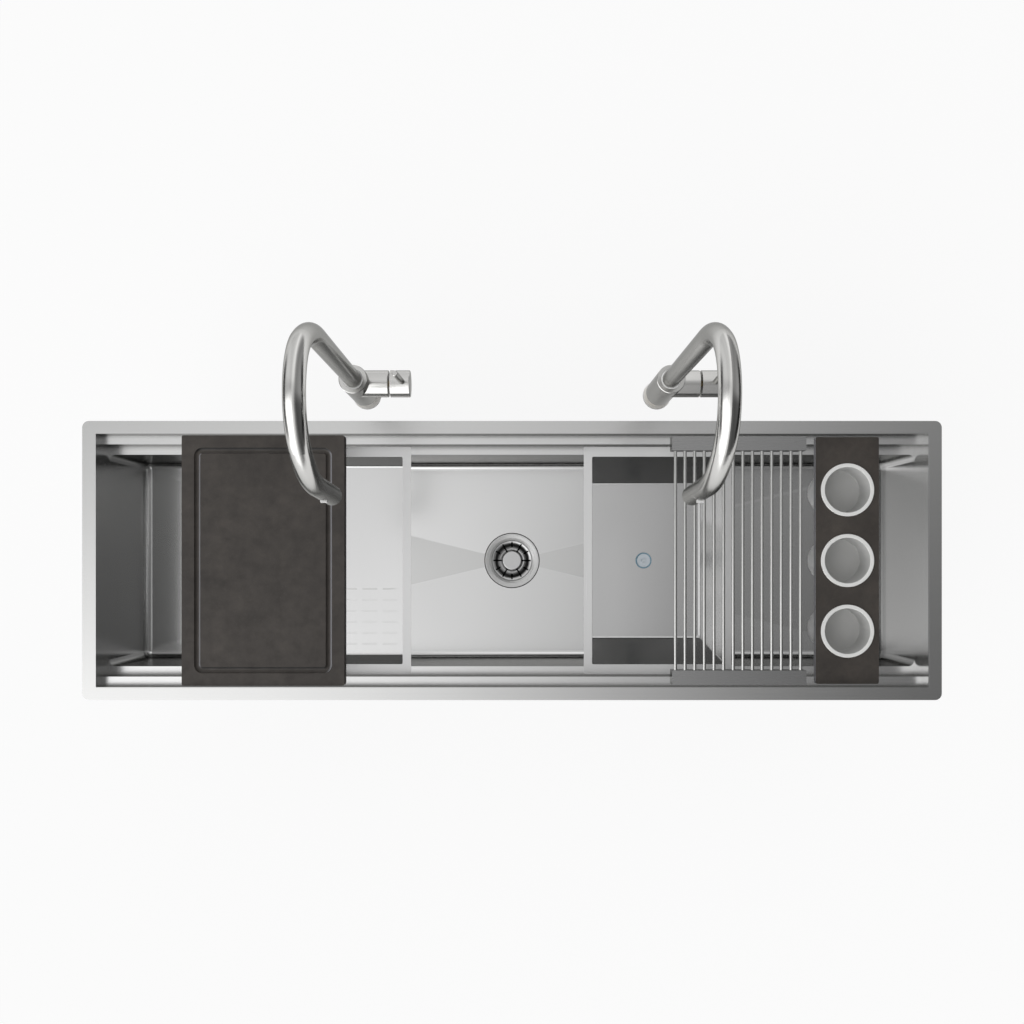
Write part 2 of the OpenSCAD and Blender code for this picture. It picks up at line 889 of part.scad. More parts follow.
module basin_plug() {
    color("lightblue")
        translate([basin_mid - plug_offset, 0, -lower_depth - basin_depth])
            rotate_extrude($fn = round_fn)
                polygon([
                    [0, -tray_t - plug_stem],
                    [plug_hole_r - plug_edge, -tray_t - plug_stem],
                    [plug_hole_r, -tray_t - plug_stem + plug_edge],
                    [plug_hole_r, 0],
                    [plug_r, 0],
                    [plug_r, plug_t],
                    [plug_r - plug_lip_w, plug_t],
                    [plug_r - plug_lip_w - plug_lip_h, plug_t - plug_lip_h],
                    [plug_knob_r, plug_t - plug_lip_h],
                    [plug_knob_r, plug_t + plug_knob_h - plug_edge],
                    [plug_knob_r - plug_edge, plug_t + plug_knob_h],
                    [0, plug_t + plug_knob_h],
                ]);
}

module at_rods() {
    pitch = (rack_l - 2 * rod_margin) / (rods - 1);
    for (i = [0 : rods - 1])
        translate([rack_x + rod_margin + i * pitch, 0, rod_z - upper_depth]) rotate([90, 0, 0]) children();
}

module rack_bar_back() {
    color(steel)
        difference() {
            translate([rack_x, rack_w / 2 - bar_w, -upper_depth]) cube([rack_l, bar_w, bar_h]);
            at_rods()
                cylinder(r = rod_r + rod_seat, h = rack_w - 2 * bar_w + 2 * rod_grip, center = true, $fn = small_fn);
        }
}

module rack_bar_front() {
    mirror([0, 1, 0]) rack_bar_back();
}

module rack_rods() {
    color(steel)
        at_rods() cylinder(r = rod_r, h = rack_w - 2 * bar_w + 2 * rod_grip, center = true, $fn = small_fn);
}

module caddy_board() {
    color(slate)
        difference() {
            translate([caddy_mid, 0, -upper_depth])
                linear_extrude(caddy_t) rounded_rect(caddy_w, caddy_len, board_corner_r);
            for (row = [-1, 0, 1])
                at_container(row)
                    translate([0, 0, -caddy_t - over])
                        cylinder(r = caddy_hole_r, h = caddy_t + 2 * over, $fn = round_fn);
        }
}

module container_shell() {
    foot_r = shell_r - shell_flare;
    arc = [for (a = [0 : 15 : 90])
        [foot_r - shell_edge_r + shell_edge_r * sin(a), -container_depth + shell_edge_r * (1 - cos(a))]];
    color(china)
        rotate_extrude($fn = round_fn)
            polygon(concat(
                [[0, -container_depth]],
                arc,
                [
                    [shell_r, 0],
                    [container_rim_r, 0],
                    [container_rim_r, shell_lip_t],
                    [shell_r - shell_wall, shell_lip_t],
                    [foot_r - shell_wall, -container_depth + shell_edge_r],
                    [foot_r - shell_edge_r, -container_depth + shell_wall],
                    [0, -container_depth + shell_wall],
                ]
            ));
}

module container_liner() {
    top = shell_lip_t + liner_lip_t;
    color(china)
        rotate_extrude($fn = round_fn)
            polygon([
                [0, top - liner_depth - liner_t],
                [liner_floor_r, top - liner_depth - liner_t],
                [liner_floor_r + liner_t, top - liner_depth],
                [liner_r + liner_t, shell_lip_t],
                [container_rim_r, shell_lip_t],
                [container_rim_r, top - liner_edge],
                [container_rim_r - liner_edge, top],
                [liner_r + liner_edge, top],
                [liner_r, top - liner_edge],
                [liner_floor_r, top - liner_depth + liner_foot],
                [liner_floor_r - liner_foot, top - liner_depth],
                [0, top - liner_depth],
            ]);
}

// ---------------------------------------------------------------- taps, each with its axis at x = y = 0

// A turned cylinder with a chamfer round its far end
module turned(r, h) {
    rotate_extrude($fn = round_fn)
        polygon([[0, 0], [r, 0], [r, h - turned_edge], [r - turned_edge, h], [0, h]]);
}

module tap_body() {
    color(steel)
        difference() {
            union() {
                turned(tap_body_r, tap_body_h);
                on_valve(0) turned(valve_r, valve_reach);
            }
            on_valve(cartridge_x) cylinder(r = cartridge_r, h = valve_reach, $fn = round_fn);
            translate([0, 0, socket_z]) cylinder(r = bush_r, h = socket_h + over, $fn = round_fn);
            translate([0, 0, -over]) cylinder(r = shank_r, h = shank_up + over, $fn = round_fn);
            translate([0, 0, -over]) tube(seal_out_r, seal_in_r, seal_t + over);
            for (s = [-1, 1])
                translate([s * inlet_x, 0, shank_up - over])
                    cylinder(r = inlet_r, h = inlet_depth + over, $fn = small_fn);
        }
}

module tap_shank() {
    color(dark_steel) translate([0, 0, -shank_l]) tube(shank_r, shank_bore_r, shank_l + shank_up);
}

module tap_cartridge() {
    color(china)
        difference() {
            on_valve(cartridge_x) cylinder(r = cartridge_r, h = valve_reach - cartridge_x, $fn = round_fn);
            on_valve(valve_reach - stem_in) cylinder(r = stem_r + fit_gap, h = stem_in + over, $fn = small_fn);
        }
}

module tap_stem() {
    color("darkgoldenrod")
        on_valve(valve_reach - stem_in)
            cylinder(r = stem_r, h = stem_in + knob_gap + stem_out, $fn = small_fn);
}

// The lever pin's own axis: up from the valve's axis, leaning to the tap body
module on_pin() {
    translate([pin_x, 0, valve_z]) rotate([0, -pin_lean, 0]) children();
}

module tap_knob() {
    color(steel)
        difference() {
            on_valve(valve_reach + knob_gap) turned(valve_r, knob_l);
            on_valve(valve_reach) cylinder(r = stem_r, h = knob_gap + stem_out, $fn = small_fn);
            on_pin() translate([0, 0, pin_root]) cylinder(r = pin_r, h = valve_r, $fn = round_fn);
        }
}

module tap_lever() {
    color(steel) on_pin() translate([0, 0, pin_root]) turned(pin_r, pin_tip - pin_root);
}

module tap_bush() {
    color(china) translate([0, 0, socket_z]) tube(bush_r, spout_r + fit_gap, bush_h);
}

// A bend of the gooseneck from one angle to another, both counted from the back up and over
module neck_bend(y, z, r, from, to, tuck = 0) {
    translate([0, y, z])
        rotate([90, 0, 90])
            rotate([0, 0, from])
                rotate_extrude(angle = to - from, $fn = round_fn)
                    translate([r, 0])
                        difference() {
                            circle(spout_r - tuck, $fn = small_fn);
                            circle(spout_bore_r + tuck, $fn = small_fn);
                        }
}

// A wide bend, a hair thinner than its neighbours and reaching a little into both, so that the tube is one solid
module neck_side_bend(y, z, from, to) {
    neck_bend(y, z, bend_side_r, from - neck_lap_a, to + neck_lap_a, neck_tuck);
}

// The nozzle's own axis, leaning with the arm: z = 0 at the joint between spout and nozzle
module at_nozzle() {
    translate([0, arm_y, arm_z]) rotate([-nozzle_lean, 0, 0]) translate([0, 0, -arm_l]) children();
}

module tap_spout() {
    color(steel) {
        translate([0, 0, socket_z]) tube(spout_r, spout_bore_r, riser_top - socket_z);
        neck_side_bend(-bend_side_r, riser_top, 0, bend_back_a);
        neck_bend(bend_y, bend_z, bend_r, bend_back_a, 180 - bend_front_a);
        neck_side_bend(front_y, front_z, 180 - bend_front_a, 180 - nozzle_lean);
        at_nozzle() tube(spout_r, spout_bore_r, arm_l);
    }
}

module tap_nozzle() {
    pocket_w = button_w + 2 * button_side_gap;
    pocket_h = button_h + 2 * button_side_gap;
    pocket_d = button_depth + button_travel + button_side_gap;
    color(steel)
        at_nozzle()
            difference() {
                rotate_extrude($fn = round_fn)
                    polygon([
                        [nozzle_bore_r, aerator_recess + aerator_l - nozzle_l],
                        [aerator_r, aerator_recess + aerator_l - nozzle_l],
                        [aerator_r, -nozzle_l],
                        [spout_r - turned_edge, -nozzle_l],
                        [spout_r, turned_edge - nozzle_l],
                        [spout_r, -seam_gap],
                        [spout_r - seam_inset, 0],
                        [spout_bore_r, 0],
                        [spout_bore_r, spigot_l],
                        [nozzle_bore_r, spigot_l],
                    ]);
                translate([-pocket_w / 2, -spout_r - over, -button_drop - pocket_h / 2])
                    cube([pocket_w, pocket_d + over, pocket_h]);
            }
}

module tap_aerator() {
    color(dark_steel)
        at_nozzle()
            translate([0, 0, aerator_recess - nozzle_l])
                difference() {
                    cylinder(r = aerator_r, h = aerator_l, $fn = round_fn);
                    translate([0, 0, aerator_skin]) cylinder(r = nozzle_bore_r, h = aerator_l, $fn = round_fn);
                    for (ring = [1 : aerator_rings], i = [1 : 6 * ring])
                        rotate(i * 60 / ring)
                            translate([ring * aerator_pitch, 0, -over])
                                cylinder(r = aerator_hole_r, h = aerator_skin + 2 * over, $fn = hull_fn);
                }
}

module tap_button() {
    color(steel)
        at_nozzle()
            translate([-button_w / 2, -spout_r - button_proud, -button_drop - button_h / 2])
                cube([button_w, button_proud + button_depth, button_h]);
}

module tap_base_seals() {
    color(rubber) at_both_taps() tube(seal_out_r, seal_in_r, seal_t);
}

module tap_rubber_washers() {
    color(china)
        at_both_taps() translate([0, 0, -worktop_t - tap_rubber_t]) tube(tap_washer_r, shank_r + fit_gap, tap_rubber_t);
}

module tap_clamp_washers() {
    color(steel)
        at_both_taps()
            translate([0, 0, -worktop_t - tap_rubber_t - tap_clamp_t])
                tube(tap_washer_r, shank_r + fit_gap, tap_clamp_t);
}

module tap_nuts() {
    color("darkgoldenrod")
        at_both_taps()
            translate([0, 0, -worktop_t - tap_rubber_t - tap_clamp_t - tap_nut_t])
                difference() {
                    cylinder(r = tap_nut_r, h = tap_nut_t, $fn = 6);
                    translate([0, 0, -over]) cylinder(r = shank_r + fit_gap, h = tap_nut_t + 2 * over, $fn = round_fn);
                }
}

// ---------------------------------------------------------------- pieces shown

rim_frame();
side_walls();
upper_ledges();
ledge_risers();
lower_ledges();
bowl();
sound_pads();
clip_brackets();
clip_screws();
strainer_body();
drain_gasket();
friction_washer();
lock_nut();
tail_washer();
tailpiece();
tail_nut();
strainer_basket();
basket_post();
basket_stopper();
cutting_board();
colander();
basin();
basin_plug();
rack_bar_back();
rack_bar_front();
rack_rods();
caddy_board();
at_container(1) container_shell();  // container_back_shell
at_container(1) container_liner();  // container_back_liner
at_container(0) container_shell();  // container_middle_shell
at_container(0) container_liner();  // container_middle_liner
at_container(-1) container_shell();  // container_front_shell
at_container(-1) container_liner();  // container_front_liner
at_tap(-1) tap_body();  // left_tap_body
at_tap(-1) tap_shank();  // left_tap_shank
at_tap(-1) tap_cartridge();  // left_tap_cartridge
at_tap(-1) tap_stem();  // left_tap_stem
at_tap(-1) tap_knob();  // left_tap_knob
at_tap(-1) tap_lever();  // left_tap_lever
at_tap(-1) tap_bush();  // left_tap_bush
at_tap(-1) tap_spout();  // left_tap_spout
at_tap(-1) tap_nozzle();  // left_tap_nozzle
at_tap(-1) tap_aerator();  // left_tap_aerator
at_tap(-1) tap_button();  // left_tap_button
at_tap(1) tap_body();  // right_tap_body
at_tap(1) tap_shank();  // right_tap_shank
at_tap(1) tap_cartridge();  // right_tap_cartridge
at_tap(1) tap_stem();  // right_tap_stem
at_tap(1) tap_knob();  // right_tap_knob
at_tap(1) tap_lever();  // right_tap_lever
at_tap(1) tap_bush();  // right_tap_bush
at_tap(1) tap_spout();  // right_tap_spout
at_tap(1) tap_nozzle();  // right_tap_nozzle
at_tap(1) tap_aerator();  // right_tap_aerator
at_tap(1) tap_button();  // right_tap_button
tap_base_seals();
tap_rubber_washers();
tap_clamp_washers();
tap_nuts();
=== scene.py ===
import math

import bmesh
import bpy
from mathutils import Matrix, Vector


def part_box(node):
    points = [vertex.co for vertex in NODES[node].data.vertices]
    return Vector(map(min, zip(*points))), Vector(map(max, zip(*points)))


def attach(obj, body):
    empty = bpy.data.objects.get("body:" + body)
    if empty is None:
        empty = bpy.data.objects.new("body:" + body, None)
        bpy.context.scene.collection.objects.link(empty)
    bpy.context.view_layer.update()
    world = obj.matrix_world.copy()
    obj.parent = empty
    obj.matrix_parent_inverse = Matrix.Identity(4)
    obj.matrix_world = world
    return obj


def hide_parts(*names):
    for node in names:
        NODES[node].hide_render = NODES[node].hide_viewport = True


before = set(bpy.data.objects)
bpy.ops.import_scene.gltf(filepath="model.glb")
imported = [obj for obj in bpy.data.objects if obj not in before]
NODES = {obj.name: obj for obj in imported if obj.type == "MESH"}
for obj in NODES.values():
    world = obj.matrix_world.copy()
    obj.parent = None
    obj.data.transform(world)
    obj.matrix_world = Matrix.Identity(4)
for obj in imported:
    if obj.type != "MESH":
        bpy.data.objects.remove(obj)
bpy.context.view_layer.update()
MM = 0.001

# ---------------------------------------------------------------- camera

PIXELS = 1024
FOCAL_PX = 1036
NADIR_BELOW_MIDDLE_PX = 48.5
CAMERA_HEIGHT = 1.838
SENSOR = 36

camera_data = bpy.data.cameras.new("camera")
camera_data.sensor_width = SENSOR
camera_data.lens = SENSOR * FOCAL_PX / PIXELS
camera_data.shift_y = NADIR_BELOW_MIDDLE_PX / PIXELS
camera = bpy.data.objects.new("camera", camera_data)
camera.location = (0, 0, CAMERA_HEIGHT)
bpy.context.scene.collection.objects.link(camera)
bpy.context.scene.camera = camera
bpy.context.scene.view_settings.view_transform = "Standard"


# ---------------------------------------------------------------- node helpers

class Shader:
    """A Principled material with short calls for the nodes that feed it."""

    def __init__(self, name, **sockets):
        self.mat = bpy.data.materials.new(name)
        self.mat.use_nodes = True
        self.nodes = self.mat.node_tree.nodes
        self.links = self.mat.node_tree.links
        self.bsdf = self.nodes["Principled BSDF"]
        self.coord = self.nodes.new("ShaderNodeTexCoord").outputs
        for key, value in sockets.items():
            self.bsdf.inputs[key.replace("_", " ")].default_value = value

    def put(self, socket, value):
        if isinstance(value, (int, float, tuple)):
            socket.default_value = value
        else:
            self.links.new(value, socket)

    def noise(self, scale, stretch=(1, 1, 1), detail=3.0, rough=0.55):
        mapping = self.nodes.new("ShaderNodeMapping")
        mapping.inputs["Scale"].default_value = stretch
        self.links.new(self.coord["Object"], mapping.inputs["Vector"])
        tex = self.nodes.new("ShaderNodeTexNoise")
        tex.inputs["Scale"].default_value = scale
        tex.inputs["Detail"].default_value = detail
        tex.inputs["Roughness"].default_value = rough
        self.links.new(mapping.outputs["Vector"], tex.inputs["Vector"])
        return tex.outputs["Fac"]

    def math(self, kind, a, b=0.0):
        node = self.nodes.new("ShaderNodeMath")
        node.operation = kind
        self.put(node.inputs[0], a)
        self.put(node.inputs[1], b)
        return node.outputs[0]

    def span(self, value, low, high, to_low, to_high):
        node = self.nodes.new("ShaderNodeMapRange")
        self.put(node.inputs["Value"], value)
        for key, v in (("From Min", low), ("From Max", high), ("To Min", to_low), ("To Max", to_high)):
            self.put(node.inputs[key], v)
        return node.outputs["Result"]

    def mix(self, fac, a, b):
        node = self.nodes.new("ShaderNodeMix")
        node.data_type = "RGBA"
        self.put(node.inputs["Factor"], fac)
        self.put(node.inputs["A"], a)
        self.put(node.inputs["B"], b)
        return node.outputs["Result"]

    def axes(self, which="Object"):
        node = self.nodes.new("ShaderNodeSeparateXYZ")
        self.links.new(self.coord[which], node.inputs[0])
        return node.outputs

    def radius(self, middle=(0.0, 0.0)):
        """Distance in plan from a vertical axis through middle."""
        ax = self.axes()
        sides = [self.math("SUBTRACT", ax[key], at) for key, at in zip("XY", middle)]
        return self.math("SQRT", self.math("ADD", *[self.math("MULTIPLY", side, side) for side in sides]))

    def retint(self, fac, colour):
        """Takes the base colour towards another one by fac."""
        base = self.bsdf.inputs["Base Color"]
        self.links.new(self.mix(fac, base.links[0].from_socket, colour), base)

    def bump(self, height, strength, distance):
        node = self.nodes.new("ShaderNodeBump")
        node.inputs["Strength"].default_value = strength
        node.inputs["Distance"].default_value = distance
        self.links.new(height, node.inputs["Height"])
        self.links.new(node.outputs["Normal"], self.bsdf.inputs["Normal"])


def rgb(r, g, b):
    return (r, g, b, 1.0)


def scaled(colour, k):
    return rgb(*[min(1.0, c * k) for c in colour[:3]])


def brushed(name, colour, rough, grain, depth=0.008, spread=0.015, cloud=0.012, edge=0.42, steep=1.0):
    """Satin metal: fine drawn lines and slow changes of tone.

    edge is the tint seen edge on, and steep below 1 paints shade on the faces turned to the front or the back.
    """
    s = Shader(name, Metallic=1.0, Specular_Tint=rgb(edge, edge, edge * 0.98))
    lines = s.noise(1.0, stretch=grain, detail=4.0, rough=0.65)
    fine = s.noise(3.1, stretch=grain, detail=2.0)
    slow = s.noise(5.0, detail=2.0)
    tone = s.math("ADD", s.span(slow, 0.3, 0.7, -cloud, cloud), s.span(lines, 0.3, 0.7, -cloud, cloud))
    fac = s.math("ADD", tone, 0.5)
    face = s.mix(fac, scaled(colour, 0.7), scaled(colour, 1.3))
    # Painted shade: faces turned to the front or the back take a darker copy of the colour when steep is below 1.
    if steep < 1:
        wall = s.span(s.math("ABSOLUTE", s.axes("Normal")["Y"]), 0.45, 0.8, 0.0, 1.0)
        face = s.mix(wall, face, scaled(colour, steep))
    s.links.new(face, s.bsdf.inputs["Base Color"])
    both = s.math("ADD", s.math("MULTIPLY", lines, 0.6), s.math("MULTIPLY", fine, 0.4))
    s.links.new(s.span(both, 0.3, 0.7, rough - spread, rough + spread), s.bsdf.inputs["Roughness"])
    s.bump(both, depth, 0.0002)
    return s


# ---------------------------------------------------------------- materials

ALONG_X = (6, 900, 900)
ALONG_Y = (900, 6, 900)
ROUND = (600, 600, 600)

mat_rim = brushed("steel_rim", rgb(0.70, 0.70, 0.695), 0.24, ALONG_X).mat
mat_sink = brushed("steel_satin_long", rgb(0.80, 0.80, 0.795), 0.24, ALONG_X).mat
# Painted shade: the side walls and ledge risers are a darker copy of the sink steel, standing in for the shade on
# upright faces.
mat_wall = brushed("steel_wall", rgb(0.62, 0.62, 0.615), 0.24, ALONG_X, edge=0.30).mat
mat_bar = brushed("steel_bar", rgb(0.44, 0.44, 0.44), 0.27, ALONG_X, depth=0.001, spread=0.01, cloud=0.005).mat
mat_rod = brushed("steel_rod", rgb(0.62, 0.62, 0.61), 0.22, ALONG_Y).mat
mat_tap = brushed("tap_metal", rgb(0.70, 0.695, 0.68), 0.2, ROUND, edge=0.36).mat
mat_drain = brushed("steel_drain", rgb(0.78, 0.78, 0.78), 0.36, ROUND, edge=0.3).mat
mat_plain = brushed("steel_plain", rgb(0.45, 0.45, 0.45), 0.42, (90, 90, 90), depth=0.15, spread=0.08).mat
mat_brass = brushed("brass", rgb(0.62, 0.47, 0.22), 0.30, (80, 80, 500), depth=0.08, edge=0.7).mat


CREASE_SLOPE = 0.24


def creased(name):
    """Bowl steel, set by place: painted shade on the left and right pitched planes of the floor, on the faces turned
    to the front or the back, and on the right part of the floor.
    """
    s = brushed(name, rgb(0.80, 0.80, 0.795), 0.18, ALONG_X, depth=0.003, steep=0.6)
    ax = s.axes()
    line = s.math("MULTIPLY", s.math("ABSOLUTE", ax["X"]), CREASE_SLOPE)
    shaded_side_planes = s.math("SUBTRACT", line, s.math("ABSOLUTE", ax["Y"]))
    pitched = s.span(ax["Z"], -0.2535, -0.2545, 0.0, 1.0)
    # Painted shade on the left and right pitched planes of the floor, between the creases.
    s.retint(s.math("MULTIPLY", s.span(shaded_side_planes, -0.0006, 0.0006, 0.0, 1.0), pitched), rgb(0.69, 0.69, 0.685))
    # Painted shade on the right part of the floor.
    right = s.math("MULTIPLY", s.span(ax["X"], 0.15, 0.42, 0.0, 1.0), s.span(ax["Z"], -0.2, -0.22, 0.0, 1.0))
    s.retint(s.math("MULTIPLY", right, 0.5), rgb(0.34, 0.34, 0.34))
    return s.mat


mat_bowl = creased("steel_bowl")


def tray_steel(name):
    """Tray steel, set by place: painted shade on the long walls, painted light on the flange through a lower
    metallic, and painted shade on the basin floor growing towards the right.
    """
    s = brushed(name, rgb(0.86, 0.86, 0.86), 0.26, ALONG_Y, edge=0.3, steep=0.3)
    ax = s.axes()
    # Painted light: the flange is made less metallic, so it renders paler.
    flange = s.span(ax["Z"], -0.0622, -0.0616, 0.0, 1.0)
    s.links.new(s.math("SUBTRACT", 1.0, s.math("MULTIPLY", flange, 0.6)), s.bsdf.inputs["Metallic"])
    # Painted shade on the basin floor, growing towards the right.
    shaded_floor = s.span(ax["Z"], -0.19, -0.2, 0.0, 1.0)
    s.retint(s.math("MULTIPLY", s.span(ax["X"], 0.2, 0.35, 0.12, 0.36), shaded_floor), rgb(0.30, 0.30, 0.30))
    return s.mat


mat_tray = tray_steel("steel_tray")


def basket_steel(name):
    """Strainer steel, with painted shade in the steep ring between the hub and the rim, set by place."""
    s = brushed(name, rgb(0.68, 0.68, 0.68), 0.36, ROUND, edge=0.3)
    r = s.radius()
    # Painted shade in the steep ring between the hub and the rim.
    ring = s.math("MULTIPLY", s.span(r, 0.021, 0.030, 0.0, 1.0), s.span(r, 0.033, 0.037, 1.0, 0.0))
    s.retint(ring, rgb(0.07, 0.07, 0.07))
    return s.mat


mat_basket = basket_steel("steel_basket")


def cup_steel(name):
    """Strainer body: a matt flange, and painted shade in the cup inside it, set by place."""
    s = brushed(name, rgb(0.76, 0.76, 0.755), 0.36, ROUND, edge=0.3)
    # Painted shade inside the cup.
    s.retint(s.span(s.radius(), 0.0385, 0.0395, 1.0, 0.0), rgb(0.03, 0.03, 0.03))
    s.bsdf.inputs["Metallic"].default_value = 0.55
    return s.mat


mat_cup = cup_steel("steel_cup")


def threaded(name, colour, pitch):
    """Cut thread: a fine wave of grooves along the axis."""
    s = Shader(name, Metallic=1.0)
    wave = s.nodes.new("ShaderNodeTexWave")
    wave.bands_direction = "Z"
    wave.wave_profile = "TRI"
    wave.inputs["Scale"].default_value = math.pi / 10 / pitch
    s.links.new(s.coord["Object"], wave.inputs["Vector"])
    # The colour follows the wave: painted shade in the grooves and painted light on the crests.
    s.links.new(s.mix(wave.outputs["Fac"], scaled(colour, 0.5), scaled(colour, 1.1)), s.bsdf.inputs["Base Color"])
    s.links.new(s.span(s.noise(90.0), 0.3, 0.7, 0.28, 0.4), s.bsdf.inputs["Roughness"])
    s.bump(wave.outputs["Fac"], 0.9, pitch / 2)
    return s.mat


mat_thread = threaded("brass_thread", rgb(0.62, 0.47, 0.22), 0.0015)


def rubber(name, colour, rough=0.62, cell=700):
    s = Shader(name)
    fine = s.noise(cell, detail=3.0)
    slow = s.noise(18.0, detail=3.0)
    s.links.new(s.mix(slow, scaled(colour, 0.75), scaled(colour, 1.35)), s.bsdf.inputs["Base Color"])
    s.links.new(s.span(fine, 0.3, 0.7, rough - 0.08, rough + 0.1), s.bsdf.inputs["Roughness"])
    s.bump(fine, 0.12, 0.0004)
    return s.mat


mat_rubber = rubber("rubber", rgb(0.045, 0.045, 0.047))
# Near-black seal: its own dark rubber, darkened further as painted shade of the gap round the strainer's flange.
mat_seal = rubber("seal_rubber", rgb(0.008, 0.008, 0.008), 0.75)
mat_fibre = rubber("fibre", rgb(0.50, 0.38, 0.25), 0.8, 1200)
mat_white = rubber("white_plastic", rgb(0.80, 0.80, 0.78), 0.42, 900)
mat_silicone = rubber("silicone", rgb(0.80, 0.79, 0.76), 0.55, 500)


def slate(name):
    """Dark mottled board: cloudy brown grey with fine light specks, with painted light on the edge faces turned to
    the left and painted shade on those turned to the front.
    """
    s = Shader(name)
    cloud = s.noise(9.0, detail=6.0, rough=0.6)
    blotch = s.noise(42.0, detail=5.0, rough=0.6)
    speck = s.noise(900.0, detail=2.0)
    base = s.mix(s.span(cloud, 0.32, 0.68, 0.0, 1.0), rgb(0.031, 0.025, 0.021), rgb(0.062, 0.052, 0.044))
    base = s.mix(s.span(blotch, 0.35, 0.7, 0.0, 0.45), base, rgb(0.024, 0.021, 0.019))
    base = s.mix(s.span(speck, 0.62, 0.74, 0.0, 0.35), base, rgb(0.14, 0.13, 0.12))
    facing = s.axes("Normal")
    # Painted light on faces turned to the left, painted shade on faces turned to the front.
    base = s.mix(s.span(facing["X"], -0.25, -0.6, 0.0, 0.9), base, rgb(0.22, 0.22, 0.235))
    base = s.mix(s.span(facing["Y"], -0.25, -0.6, 0.0, 0.9), base, rgb(0.006, 0.006, 0.006))
    s.links.new(base, s.bsdf.inputs["Base Color"])
    s.links.new(s.span(blotch, 0.3, 0.7, 0.46, 0.66), s.bsdf.inputs["Roughness"])
    s.bump(s.math("ADD", s.math("MULTIPLY", blotch, 0.5), s.math("MULTIPLY", speck, 0.5)), 0.18, 0.0005)
    return s.mat


mat_slate = slate("slate")


def container(name):
    """White rim and shell, with the inside of the cup a shade darker."""
    s = Shader(name)
    z = s.axes()["Z"]
    inside = s.span(z, -0.0118, -0.0128, 0.0, 1.0)
    fine = s.noise(1100.0, detail=2.0)
    slow = s.noise(25.0, detail=3.0)
    rim = s.mix(slow, rgb(0.78, 0.78, 0.765), rgb(0.84, 0.84, 0.825))
    cup = s.mix(slow, rgb(0.47, 0.47, 0.46), rgb(0.55, 0.55, 0.54))
    s.links.new(s.mix(inside, rim, cup), s.bsdf.inputs["Base Color"])
    s.links.new(s.span(fine, 0.3, 0.7, 0.38, 0.5), s.bsdf.inputs["Roughness"])
    s.bump(fine, 0.05, 0.0003)
    return s.mat


mat_liner = container("container_liner")
mat_shell = rubber("container_shell", rgb(0.80, 0.80, 0.79), 0.42, 1100)
mat_button = rubber("button_white", rgb(0.88, 0.88, 0.87), 0.35, 1500)


def plug(name, middle):
    """Pale blue grey rubber with a blue ring at its edge."""
    s = Shader(name)
    ring = s.span(s.radius(middle), 0.0125, 0.0138, 0.0, 1.0)
    fine = s.noise(1500.0, detail=2.0)
    pale = s.mix(s.noise(140.0), rgb(0.72, 0.79, 0.85), rgb(0.80, 0.86, 0.91))
    s.links.new(s.mix(ring, pale, rgb(0.16, 0.31, 0.41)), s.bsdf.inputs["Base Color"])
    s.links.new(s.span(fine, 0.3, 0.7, 0.28, 0.4), s.bsdf.inputs["Roughness"])
    s.bump(fine, 0.06, 0.0003)
    return s.mat


mat_plug = plug("plug", (0.2587, 0.0))

# ---------------------------------------------------------------- CAD nodes: material and softened edges

SIDES = ("left", "right")
PLACES = ("back", "middle", "front")
finish = {
    "rim_frame": mat_rim, "side_walls": mat_wall, "ledge_risers": mat_wall, "bowl": mat_bowl,
    "sound_pads": mat_rubber, "clip_brackets": mat_plain, "clip_screws": mat_plain,
    "strainer_body": mat_cup, "drain_gasket": mat_rubber, "friction_washer": mat_fibre,
    "lock_nut": mat_plain, "tail_washer": mat_white, "tailpiece": mat_drain, "tail_nut": mat_drain,
    "strainer_basket": mat_drain, "basket_post": mat_plain, "basket_stopper": mat_rubber,
    "cutting_board": mat_slate, "caddy_board": mat_slate, "colander": mat_tray, "basin": mat_tray,
    "basin_plug": mat_plug, "rack_bar_back": mat_bar, "rack_bar_front": mat_bar, "rack_rods": mat_rod,
    "tap_base_seals": mat_rubber, "tap_rubber_washers": mat_silicone, "tap_clamp_washers": mat_plain,
    "tap_nuts": mat_brass,
}
for place in PLACES:
    finish[f"container_{place}_shell"] = mat_shell
    finish[f"container_{place}_liner"] = mat_liner
tap_finish = {
    "body": mat_tap, "shank": mat_thread, "cartridge": mat_white, "stem": mat_brass, "knob": mat_tap,
    "lever": mat_tap, "bush": mat_white, "spout": mat_tap, "nozzle": mat_tap, "aerator": mat_plain,
    "button": mat_button,
}
for side in SIDES:
    for part, mat in tap_finish.items():
        finish[f"{side}_tap_{part}"] = mat

for name, obj in NODES.items():
    mat = finish.get(name, mat_sink)
    if obj.material_slots:
        for slot in obj.material_slots:
            slot.material = mat
    else:
        obj.data.materials.append(mat)


def soften(name, width, segments=2):
    """Rounds a CAD node's sharp edges in the render, leaving its mesh as it is."""
    obj = NODES[name]
    weld = obj.modifiers.new("weld", "WELD")
    weld.merge_threshold = 0.000005
    bevel = obj.modifiers.new("bevel", "BEVEL")
    bevel.width = width
    bevel.segments = segments
    bevel.limit_method = "ANGLE"
    bevel.angle_limit = math.radians(35)
    bevel.harden_normals = True


soften("rim_frame", 0.0006)
for name in ("cutting_board", "caddy_board"):
    soften(name, 0.0012, 3)
for name in ("rack_bar_back", "rack_bar_front"):
    soften(name, 0.0008, 3)
soften("colander", 0.0004)

# These are left out of glossy reflections, so that the steel round them stays as clean as in the photograph
calm = ["cutting_board", "caddy_board", "rack_bar_back", "rack_bar_front", "rack_rods", "colander"]
calm += [f"container_{place}_{part}" for place in PLACES for part in ("shell", "liner")]
for name in calm:
    NODES[name].visible_glossy = False

# ---------------------------------------------------------------- drain


